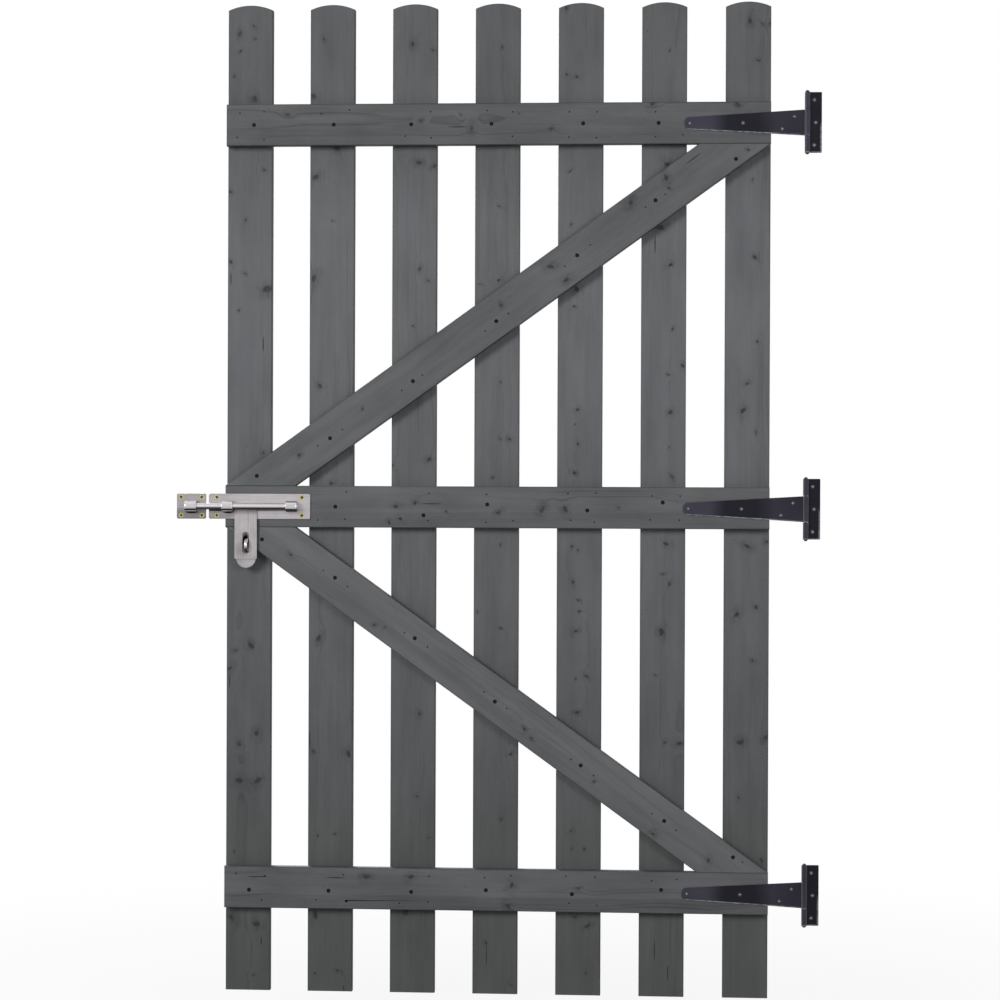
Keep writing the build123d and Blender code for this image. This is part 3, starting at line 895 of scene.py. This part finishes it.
# Painted shade on the tongue beneath the slot, and on the hasp below the rod and round its slot; the hasp's last
# mark darkens its lower end
plate_shade_marks = ((0, -66.5, 7.5, 21.0, 0.85), contact_shadow("bolt_guide_left"), contact_shadow("bolt_rod"))
keep_shade_marks = (contact_shadow("keep_loop"),)
hasp_shade_marks = ((0, 0, 60.0, 14.0, 0.45), (-6, -77, 15.0, 14.0, 0.22), (0, -102, 40.0, 16.0, 0.1))

plate_steel = steel("plate_steel", stainless, along_x, 1.0, 0.2, darkened=True, shade_marks=plate_shade_marks)
keep_steel = steel("keep_steel", stainless, along_x, 0.86, 0.2, darkened=True, shade_marks=keep_shade_marks)
hasp_steel = steel("hasp_steel", stainless, along_z, 0.88, 0.4, shade_marks=hasp_shade_marks)
loop_steel = steel("loop_steel", polished, along_x, rough=0.15, painted_reflection=loop_painted_reflection)
rod_steel = steel("rod_steel", polished, along_x, rough=0.2, painted_reflection=rod_painted_reflection)
plate_face, strap_face, wood_face = (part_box(f"{name}_screws")[0].y for name in ("bolt", "hinge", "ledge"))
yellow_zinc = plated("yellow_zinc_plate", zinc_gold, zinc_green, cross_shade, 0.38, plate_face)
dark_screw = plated("dark_screw", screw_dark, screw_grey, screw_worn, 0.45, strap_face)
# Sunk screw and nail heads are near-black: dark screws, with painted shade from their holes
dark_zinc = plated("sunk_zinc_dark_and_shaded", sunk_dark, sunk_darker, cross_shade, 0.6, wood_face)
hinge_black = black_coat("black_coat")
hole_wood = shaded_hole()


# Screws and nails; a cross is the length and width of its arms as shares of the head
narrow_cross = (0.66, 0.2)
wide_cross = (0.7, 0.34)
cross_depth = 1.5 * mm
head_rim = 0.2 * mm


def screw(head_d, shank_d, length, cross, tip):
    """A countersunk screw along +Y from its head, with a cross recess and a point of length tip."""
    taper = (head_d - shank_d) / 2
    bm = turned([
        (0, 0), (head_d / 2 - head_rim / 2, 0), (head_d / 2, head_rim / 2), (head_d / 2, head_rim),
        (shank_d / 2, head_rim + taper), (shank_d / 2, length - tip), (0, length),
    ])
    long, wide = (head_d * share / 2 for share in cross)
    for half_x, half_z in ((long, wide), (wide, long)):
        bm = cut(bm, box_mesh((-half_x, -over_cut, -half_z), (half_x, cross_depth, half_z)))
    return bm


def make_screws(node, body, slot, material, head_d, shank_d, cross=narrow_cross):
    """Screws in place of a CAD node's, each at the place and of the length of its solid."""
    low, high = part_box(node)
    spots = [Vector((spot.x, low.y, spot.z)) for spot in solid_centres(node)]
    bm = copies(screw(head_d, shank_d, high.y - low.y, cross, 2 * shank_d), spots)
    piece(f"driven_{node}", bm, body, slot, material, node)


def make_nails(spots):
    """The nails at the bottom of their small holes."""
    r = nail_fit * nail_d / 2
    neck = nail_sink + recess_step
    nail = turned([
        (0, nail_sink), (r, nail_sink), (r, neck), (r / 2, neck), (r / 2, nail_length), (0, nail_length),
    ], nail_sides)
    piece("nails", copies(nail, spots), "leaf", "dark_zinc", dark_zinc)


# T-hinges: sheets that curl round the pin
sheet_t = 2.5 * mm
strap_tip_r = 8.5 * mm
flap_corner_r = 1.5 * mm
curl_turn = math.radians(285)
curl_r = -pin.y - sheet_t / 2
curl_length = curl_turn * curl_r
curl_steps = 28
knuckle_gap = 0.5 * mm
mouth_reach = 4.6 * mm
hinge_hole_r = 2.1 * mm
strap_head_d = 7.5 * mm
strap_shank_d = 4.1 * mm
dome_steps = 6

# Holes at a strap's root, from the pin and the strap's middle
base_holes = ((-23.0 * mm, 11.0 * mm), (-44.5 * mm, -11.0 * mm))


def countersink(spots, y_face, head_d, shank_d):
    """Cutters for countersunk holes."""
    taper = (head_d - shank_d) / 2
    hole = turned([
        (0, -over_cut), (head_d / 2 + head_rim, -over_cut), (head_d / 2, head_rim),
        (shank_d / 2, taper + head_rim), (shank_d / 2, 2 * sheet_t), (0, 2 * sheet_t),
    ])
    return copies(hole, [Vector((x, y_face, z)) for x, z in spots])


def curl(bm, side):
    """Bends the part of a sheet beyond the pin round it; side is where the flat part lies."""
    for i in range(curl_steps):
        cut_x = pin.x - side * curl_length * i / curl_steps
        parts = bm.verts[:] + bm.edges[:] + bm.faces[:]
        bmesh.ops.bisect_plane(bm, geom=parts, plane_co=(cut_x, 0, 0), plane_no=(1, 0, 0))
    bmesh.ops.dissolve_degenerate(bm, edges=bm.edges, dist=weld)
    for vert in bm.verts:
        beyond = -side * (vert.co.x - pin.x)
        if beyond > 0:
            angle, radius = beyond / curl_r, vert.co.y - pin.y
            vert.co.x = pin.x - side * radius * math.sin(angle)
            vert.co.y = pin.y + radius * math.cos(angle)
    return bm


def hinge_sheet(outline, holes, side):
    """A sheet with countersunk holes that curls round the pin."""
    bm = sheet(outline, [], -sheet_t, 0, sheet_round)
    cutters = countersink(holes, -sheet_t, strap_head_d + hole_play, 2 * hinge_hole_r)
    return curl(cut(bm, cutters), side)


def make_fixings(name, body, spots):
    """Screw heads in the holes that have no wood behind them, cut off level with the back of the sheet."""
    head = screw(strap_head_d, strap_shank_d, sheet_t, narrow_cross, 0.0)
    piece(name, copies(head, [Vector((x, -sheet_t, z)) for x, z in spots]), body, "zinc", dark_screw)


def make_strap(place):
    """A strap that narrows to its tip; returns the holes at its root."""
    node = f"hinge_strap_{place}"
    low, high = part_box(node)
    z = (low.z + high.z) / 2
    tip, far = strap_tip_w / 2, pin.x + curl_length
    outline = rounded([
        (low.x, z - tip, strap_tip_r), (pin.x, low.z, 0), (far, low.z, 0), (far, high.z, 0),
        (pin.x, high.z, 0), (low.x, z + tip, strap_tip_r),
    ])
    screws = [(spot.x, spot.z) for spot in on_board(strap_screw_spots, low, high)]
    open_holes = [(pin.x + dx, z + dz) for dx, dz in base_holes]
    coat = black_coat(f"black_strap_{place}", strap_painted_light, node)
    piece(f"strap_{place}", hinge_sheet(outline, screws + open_holes, -1), "leaf", "black_hinge", coat, node)
    return open_holes


def make_flap(place):
    """A flap with the mouth that the strap's knuckle fills, and its screw heads."""
    node = f"hinge_flap_{place}"
    low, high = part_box(node)
    strap_low, strap_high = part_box(f"hinge_strap_{place}")
    far, mouth_x = pin.x - curl_length, pin.x + mouth_reach
    mouth_low, mouth_high = strap_low.z - knuckle_gap, strap_high.z + knuckle_gap
    outline = rounded([
        (far, low.z, 0), (high.x, low.z, flap_corner_r), (high.x, high.z, flap_corner_r), (far, high.z, 0),
        (far, mouth_high, 0), (mouth_x, mouth_high, 0), (mouth_x, mouth_low, 0), (far, mouth_low, 0),
    ])
    outer, centre = mounts[f"hinge_{place}_holes"], mounts[f"hinge_{place}_centre_hole"]
    outer_x, centre_x = outer["pos_m"][0], centre["pos_m"][0]
    half = outer["dims"]["spacing_y_mm"] * mm / 2
    z = (strap_low.z + strap_high.z) / 2
    holes = [(outer_x, z + half), (centre_x, z), (outer_x, z - half)]
    coat = black_coat(f"black_flap_{place}", flap_painted_light, node)
    piece(f"flap_{place}", hinge_sheet(outline, holes, 1), "post_side", "black_hinge", coat, node)
    make_fixings(f"flap_screws_{place}", "post_side", holes)


def make_pin(place):
    """A pin with domed rivet heads."""
    node = f"hinge_pin_{place}"
    low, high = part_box(node)
    flap_low, flap_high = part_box(f"hinge_flap_{place}")
    head_r = (high.x - low.x) / 2
    shank_r = -pin.y - sheet_t - running_fit
    dome = [(head_r * math.cos(a), math.sin(a)) for a in quarter(dome_steps)[:-1]] + [(0, 1)]
    lower = [(r, flap_low.z + (low.z - flap_low.z) * share) for r, share in reversed(dome)]
    upper = [(r, flap_high.z + (high.z - flap_high.z) * share) for r, share in dome]
    bm = turned([*lower, (shank_r, flap_low.z), (shank_r, flap_high.z), *upper])
    bm.transform(Matrix.Translation((pin.x, pin.y, 0)) @ Matrix.Rotation(math.pi / 2, 4, "X"))
    piece(f"pin_{place}", bm, "post_side", "black_hinge", hinge_black, node)


# Pad bolt and keep
plate_corner_r = 3.0 * mm
tongue_w = 36.0 * mm
root_lift = 0.02 * mm
plate_head_d = 8.3 * mm
plate_shank_d = 4.1 * mm
rod_end_round = 1.4 * mm
staple_bar = 6.0 * mm
staple_fineness = 6
slot_w = 11.6 * mm
slot_top = 47.0 * mm
slot_bottom = 86.0 * mm
slot_end_r = 5.0 * mm
hasp_corner_r = 2.0 * mm
cradle_w = 8.0 * mm
bore_sides = 48
rod_round_steps, loop_round_steps = 5, 6
guide_bore_r, keep_bore_r = 6.2 * mm, 6.3 * mm
small_round, inner_round, outer_round = 1.0 * mm, 0.8 * mm, 3.2 * mm


def make_plate(node, body, material, outline):
    """A plate with countersunk holes for its screws."""
    low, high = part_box(node)
    spots = [(spot.x, spot.z) for spot in plate_screw_spots if low.x < spot.x < high.x]
    bm = sheet(outline, [], low.y, high.y, plate_round)
    bm = cut(bm, countersink(spots, low.y, plate_head_d + hole_play, plate_shank_d + hole_play))
    piece(f"shaped_{node}", bm, body, "stainless", material, node)


def back_plate_outline():
    """A bar as high as the keep, with a tongue that ends in a half circle."""
    low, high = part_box("bolt_back_plate")
    keep_low, keep_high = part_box("keep_plate")
    r, half = plate_corner_r, tongue_w / 2
    end = arc((rod_axis.x, low.z + half), half, 180, 180, 3 * curve_steps)
    bar_low, bar_high = keep_low.z, keep_high.z
    left = arc((low.x + r, bar_high - r), r, 90, 90) + arc((low.x + r, bar_low + r), r, 180, 90)
    right = arc((high.x - r, bar_low + r), r, 270, 90) + arc((high.x - r, bar_high - r), r, 0, 90)
    root_z = bar_low + root_lift
    root = [(rod_axis.x - half, root_z), *end, (rod_axis.x + half, root_z)]
    return left + root + right


def make_loop(node, body, bore_r, round_left, round_right):
    """A loop over the rod: a half-round front on a straight back, bored through, with rounded ends."""
    low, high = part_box(node)
    outer_r = (high.z - low.z) / 2
    axis = rod_axis.yz
    bm = bmesh.new()

    def row(x, points):
        return [bm.verts.new((x, y, z)) for y, z in points]

    def outside(r):
        return arc(axis, r, 270, -180, 2 * curve_steps) + [(high.y, axis[1] + r), (high.y, axis[1] - r)]

    def skin(first, second):
        for i in range(len(first)):
            j = (i + 1) % len(first)
            bm.faces.new((first[i], first[j], second[j], second[i]))

    bends = [(1 - math.cos(a), 1 - math.sin(a)) for a in quarter(loop_round_steps)]
    left = [(low.x + round_left * along, round_left * inset) for along, inset in bends]
    right = [(high.x - round_right * along, round_right * inset) for along, inset in reversed(bends)]
    rows = [row(x, outside(outer_r - inset)) for x, inset in left + right]
    for first, second in zip(rows, rows[1:]):
        skin(first, second)
    bore = arc(axis, bore_r, 180, -360, bore_sides)[:-1]
    bores = row(low.x, bore), row(high.x, bore)
    skin(*bores)
    for outer, inner in ((rows[0], bores[0]), (rows[-1], bores[1])):
        edges = [bm.edges.get((loop[i - 1], loop[i])) for loop in (outer, inner) for i in range(len(loop))]
        bmesh.ops.triangle_fill(bm, edges=edges, use_beauty=True)
    bmesh.ops.remove_doubles(bm, verts=bm.verts, dist=weld)
    bmesh.ops.recalc_face_normals(bm, faces=bm.faces)
    piece(f"shaped_{node}", bm, body, "stainless", loop_steel, node)


def bar_on_axis(low_x, high_x, r, edge):
    """A round bar on the rod's axis, with rounded ends."""
    bends = [(r - edge * (1 - math.sin(a)), edge * (1 - math.cos(a))) for a in quarter(rod_round_steps)]
    left = [(radius, low_x + along) for radius, along in bends]
    right = [(radius, high_x - along) for radius, along in reversed(bends)]
    bm = turned([(0, low_x), *left, *right, (0, high_x)], bore_sides)
    bm.transform(Matrix.Translation((0, rod_axis.y, rod_axis.z)) @ Matrix.Rotation(-math.pi / 2, 4, "Z"))
    return bm


def make_rod():
    low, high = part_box("bolt_rod")
    bm = bar_on_axis(low.x, high.x - running_fit, (high.z - low.z) / 2, rod_end_round)
    piece("turned_bolt_rod", bm, "bolt", "stainless", rod_steel, "bolt_rod")


def make_staple():
    """A round bar bent to a U, with its feet in the tongue."""
    low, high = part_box("bolt_staple")
    radius = (high.z - low.z - staple_bar) / 2
    middle_x, middle_z = (low.x + high.x) / 2, (low.z + high.z) / 2
    crown_y = low.y + staple_bar / 2 + radius
    bend = arc((crown_y, middle_z), radius, 90, 180, 4 * curve_steps)
    route = [(high.y, middle_z + radius), *bend, (high.y, middle_z - radius)]
    curve = bpy.data.curves.new("staple", "CURVE")
    curve.dimensions = "3D"
    curve.bevel_depth = staple_bar / 2
    curve.bevel_resolution = staple_fineness
    curve.use_fill_caps = True
    bm = curve_mesh(curve, [[(middle_x, y, z) for y, z in route]], False)
    bmesh.ops.recalc_face_normals(bm, faces=bm.faces)
    piece("bent_staple", bm, "leaf", "stainless", rod_steel, "bolt_staple")


def make_hasp():
    """The slotted strap, with the cradle that seats it on the rod's back."""
    low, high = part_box("bolt_hasp")
    rod_low, rod_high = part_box("bolt_rod")
    front = high.y - sheet_t
    outline = rectangle(low.x, low.z, high.x, high.z, hasp_corner_r)
    slot_low, slot_high = rod_axis.z - slot_bottom, rod_axis.z - slot_top
    half = slot_w / 2
    slot = rectangle(rod_axis.x - half, slot_low, rod_axis.x + half, slot_high, slot_end_r)
    bm = sheet(outline, [slot[::-1]], front, high.y, plate_round)
    inset = hasp_corner_r + plate_round
    cradle = box_mesh(
        (low.x + inset, low.y, high.z - cradle_w), (high.x - inset, front + sheet_t / 2, high.z - plate_round)
    )
    bm = combine(bm, cradle, "UNION")
    seat_r = (rod_high.z - rod_low.z) / 2 + running_fit
    bm = cut(bm, bar_on_axis(rod_low.x, rod_high.x, seat_r, rod_end_round))
    piece("shaped_hasp", bm, "hasp", "stainless", hasp_steel, "bolt_hasp")


# Put the leaf together
ledge_screw_spots = solid_centres("ledge_screws")
brace_screw_spots = solid_centres("brace_screws")
strap_screw_spots = solid_centres("hinge_screws")
plate_screw_spots = solid_centres("bolt_screws") + solid_centres("keep_screws")

pale_seed, ledge_seed, brace_seed = 1, 11, 21
for seed, node in enumerate(pales, start=pale_seed):
    make_pale(node, seed)
nail_spots = []
for seed, node in enumerate(ledges, start=ledge_seed):
    nail_spots += make_ledge(node, seed)
for seed, node in enumerate(braces, start=brace_seed):
    nail_spots += make_brace(node, seed)
for node in ("ledge_screws", "brace_screws"):
    make_screws(node, "leaf", "dark_zinc", dark_zinc, wood_head_d, wood_shank_d)
make_nails(nail_spots)

# Hinges
for place in places:
    root_holes = make_strap(place)
    make_flap(place)
    make_fixings(f"base_screws_{place}", "leaf", root_holes)
    make_pin(place)
make_screws("hinge_screws", "leaf", "zinc", dark_screw, strap_head_d, strap_shank_d)

# Bolt and keep
make_plate("bolt_back_plate", "leaf", plate_steel, back_plate_outline())
keep_low, keep_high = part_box("keep_plate")
keep_outline = rectangle(keep_low.x, keep_low.z, keep_high.x, keep_high.z, plate_corner_r)
make_plate("keep_plate", "keep", keep_steel, keep_outline)
make_loop("bolt_guide_left", "leaf", guide_bore_r, small_round, small_round)
make_loop("bolt_guide_right", "leaf", guide_bore_r, inner_round, outer_round)
make_loop("keep_loop", "keep", keep_bore_r, outer_round, inner_round)
make_rod()
make_staple()
make_hasp()
for node, body in (("bolt_screws", "leaf"), ("keep_screws", "keep")):
    make_screws(node, body, "yellow_zinc", yellow_zinc, plate_head_d, plate_shank_d, wide_cross)

# Camera, at the photograph's place
camera_place = (-0.2142, -5.0, 0.0407)
camera_yaw = -0.0696
camera_pitch = -0.00528
camera_roll = 0.00373
camera_lens = 99.71
camera_sensor = 36.0
camera_reach = 100.0


def make_camera():
    data = bpy.data.cameras.new("camera")
    data.lens = camera_lens
    data.sensor_width = camera_sensor
    data.clip_end = camera_reach
    camera = bpy.data.objects.new("camera", data)
    camera.matrix_world = Matrix.Translation(camera_place)
    for angle, axis in ((-camera_yaw, "Z"), (math.pi / 2 + camera_pitch, "X"), (camera_roll, "Z")):
        camera.matrix_world @= Matrix.Rotation(angle, 4, axis)
    bpy.context.scene.collection.objects.link(camera)
    bpy.context.scene.camera = camera


# Soft boxes with their places and watts, a pale floor and a white surround
gate_middle = Vector((-0.57, 0.0, 0.0))
soft_boxes = {
    "left": ((-3.9, -4.5, 1.9), 240),
    "right": ((2.65, -4.6, 1.3), 105),
    "back": ((-3.0, 5.0, 2.0), 230),
}
soft_box_side = 2.0
surround_fill = 0.1
white = (1, 1, 1, 1)
floor_gap = 0.05
floor_half = 9.0
floor_white = 0.88
floor_near, floor_far = 0.7, 2.4
floor_grey = (0.5, 0.5, 0.5, 1)


def make_soft_box(name, place, power):
    data = bpy.data.lights.new(name, "AREA")
    data.shape = "RECTANGLE"
    data.size = data.size_y = soft_box_side
    data.energy = power
    lamp = bpy.data.objects.new(name, data)
    lamp.location = place
    lamp.rotation_euler = (gate_middle - Vector(place)).to_track_quat("-Z", "Y").to_euler()
    bpy.context.scene.collection.objects.link(lamp)


def make_floor():
    """A floor that looks white away from the gate and keeps its shadow."""
    bm = bmesh.new()
    bmesh.ops.create_grid(bm, x_segments=1, y_segments=1, size=floor_half)
    bm.transform(Matrix.Translation((gate_middle.x, 0, cad_box[0].z - floor_gap)))
    floor = loose_object(bm, "floor")
    s = Shader("pale_floor", tuple(gate_middle))
    s.finish(Base_Color=floor_grey, Roughness=0.9)
    glow = s.node("Emission", {"Color": white, "Strength": 1.0}).outputs[0]
    fade = s.step(s.vector("LENGTH", s.spot), floor_near / mm, floor_far / mm, floor_white, 1.0)
    blend = s.node("MixShader", {0: s.product(s.seen(), fade), 1: s.surface.outputs[0], 2: glow}).outputs[0]
    s.put(s.tree.nodes["Material Output"].inputs["Surface"], blend)
    floor.data.materials.append(s.material)


def make_world():
    """White where the camera sees it, and a soft fill for the rest."""
    world = bpy.data.worlds.new("studio")
    world.use_nodes = True
    s = Nodes(world.node_tree)
    soft = s.tree.nodes["Background"]
    s.put(soft.inputs["Color"], white)
    s.put(soft.inputs["Strength"], surround_fill)
    bright = s.node("Background", {"Color": white, "Strength": 1.0})
    blend = s.node("MixShader", {0: s.seen(), 1: soft.outputs[0], 2: bright.outputs[0]}).outputs[0]
    s.put(s.tree.nodes["World Output"].inputs["Surface"], blend)
    bpy.context.scene.world = world


make_camera()
for name, (place, power) in soft_boxes.items():
    make_soft_box(f"soft_box_{name}", place, power)
make_floor()
make_world()
bpy.context.scene.view_settings.view_transform = "Standard"
